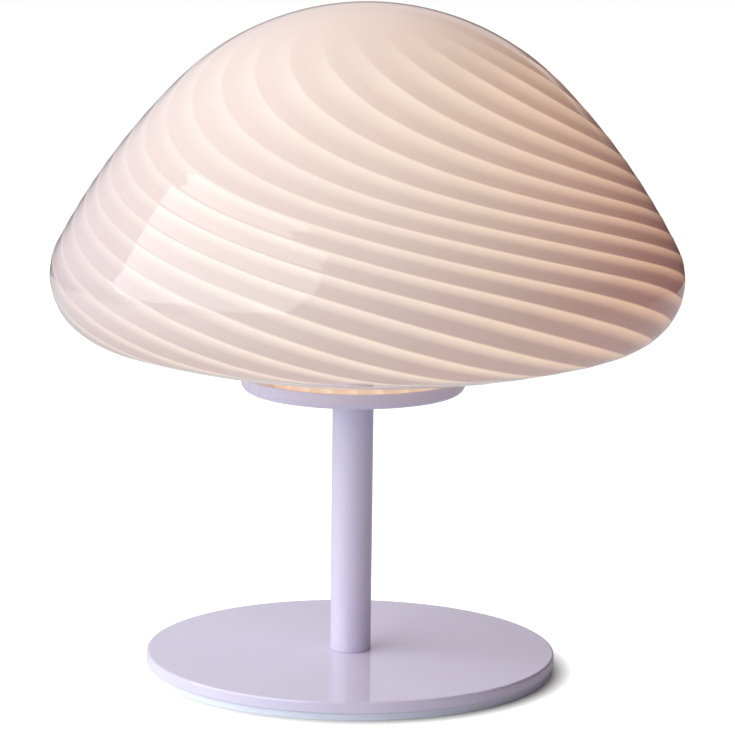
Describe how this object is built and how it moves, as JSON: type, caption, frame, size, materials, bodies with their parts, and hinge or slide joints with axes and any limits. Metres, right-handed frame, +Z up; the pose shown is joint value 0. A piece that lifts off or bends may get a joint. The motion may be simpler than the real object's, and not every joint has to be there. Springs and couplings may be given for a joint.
{
  "type": "mushroom table lamp",
  "caption": "Table lamp with a swirled glass mushroom shade resting in a metal tray on a tube stem and a flat round base, with a screw-in bulb in a holder.",
  "frame": {"origin": "centre of the base pad's underside, on the stem's axis, where the lamp stands", "axes": "+Z up along the stem, +Y to the back, where the cord leaves the stem, +X to the right seen from the front"},
  "size_m": [0.2754, 0.2754, 0.2937],
  "materials": {
    "swirl_glass": "polished opal glass with swirled stripes",
    "lilac_lacquer": "gloss pearl lacquer",
    "pad_rubber": "matte",
    "zinc_steel": "zinc plated",
    "turned_steel": "turned",
    "nipple_zinc": "zinc plated",
    "nut_brass": "turned",
    "bush_plastic": "moulded",
    "lead_brown": "PVC insulation",
    "lead_blue": "PVC insulation",
    "seat_silicone": "translucent matte",
    "holder_plastic": "moulded thermoplastic",
    "core_ceramic": "glazed ceramic",
    "contact_brass": "rolled",
    "cap_nickel": "nickel plated",
    "insulator_black": "black glass",
    "tip_solder": "tinned",
    "collar_white": "moulded",
    "globe_frost": "frosted",
    "board_white": "white solder mask",
    "chip_yellow": "phosphor",
    "board_green": "solder mask"
  },
  "bodies": {
    "stand": {"base_pad": "pad_rubber", "base_plate": "lilac_lacquer", "base_screw": "zinc_steel", "stem_tube": "lilac_lacquer", "stem_foot_plug": "turned_steel", "stem_head_bush": "turned_steel", "threaded_nipple": "nipple_zinc", "cord_bush": "bush_plastic", "inner_lead_left": "lead_brown", "inner_lead_right": "lead_blue", "shade_tray": "lilac_lacquer", "tray_washer": "zinc_steel", "tray_nut": "nut_brass", "shade_seat": "seat_silicone", "holder_cap": "holder_plastic", "holder_lock_screw": "zinc_steel", "holder_skirt": "holder_plastic", "holder_core": "core_ceramic", "holder_thread_shell": "contact_brass", "holder_centre_contact": "contact_brass", "holder_terminal_screws": "contact_brass"},
    "shade": {"glass_shade": "swirl_glass", "glass_belly": "swirl_glass", "glass_neck": "swirl_glass"},
    "bulb_tip": {"bulb_tip_contact": "tip_solder"},
    "bulb": {"bulb_screw_cap": "cap_nickel", "bulb_insulator": "insulator_black", "bulb_collar": "collar_white", "bulb_globe": "globe_frost", "bulb_led_board": "board_white", "bulb_led_chips": "chip_yellow", "bulb_driver_board": "board_green"}
  },
  "joints": [
    {"name": "shade_lift", "type": "slide", "parent": "stand", "child": "shade", "axis": [0, 0, 1], "range_m": [0, 0.12]},
    {"name": "bulb_rise", "type": "slide", "parent": "stand", "child": "bulb_tip", "axis": [0, 0, 1], "range_m": [0, 0.0142]},
    {"name": "bulb_turn", "type": "hinge", "parent": "bulb_tip", "child": "bulb", "pos_m": [0, 0, 0.18], "axis": [0, 0, 1], "range_deg": [0, 1800]}
  ],
  "couplings": [
    {"joint": "bulb_rise", "follows": "bulb_turn", "m_per_rad": 0.00044882}
  ]
}
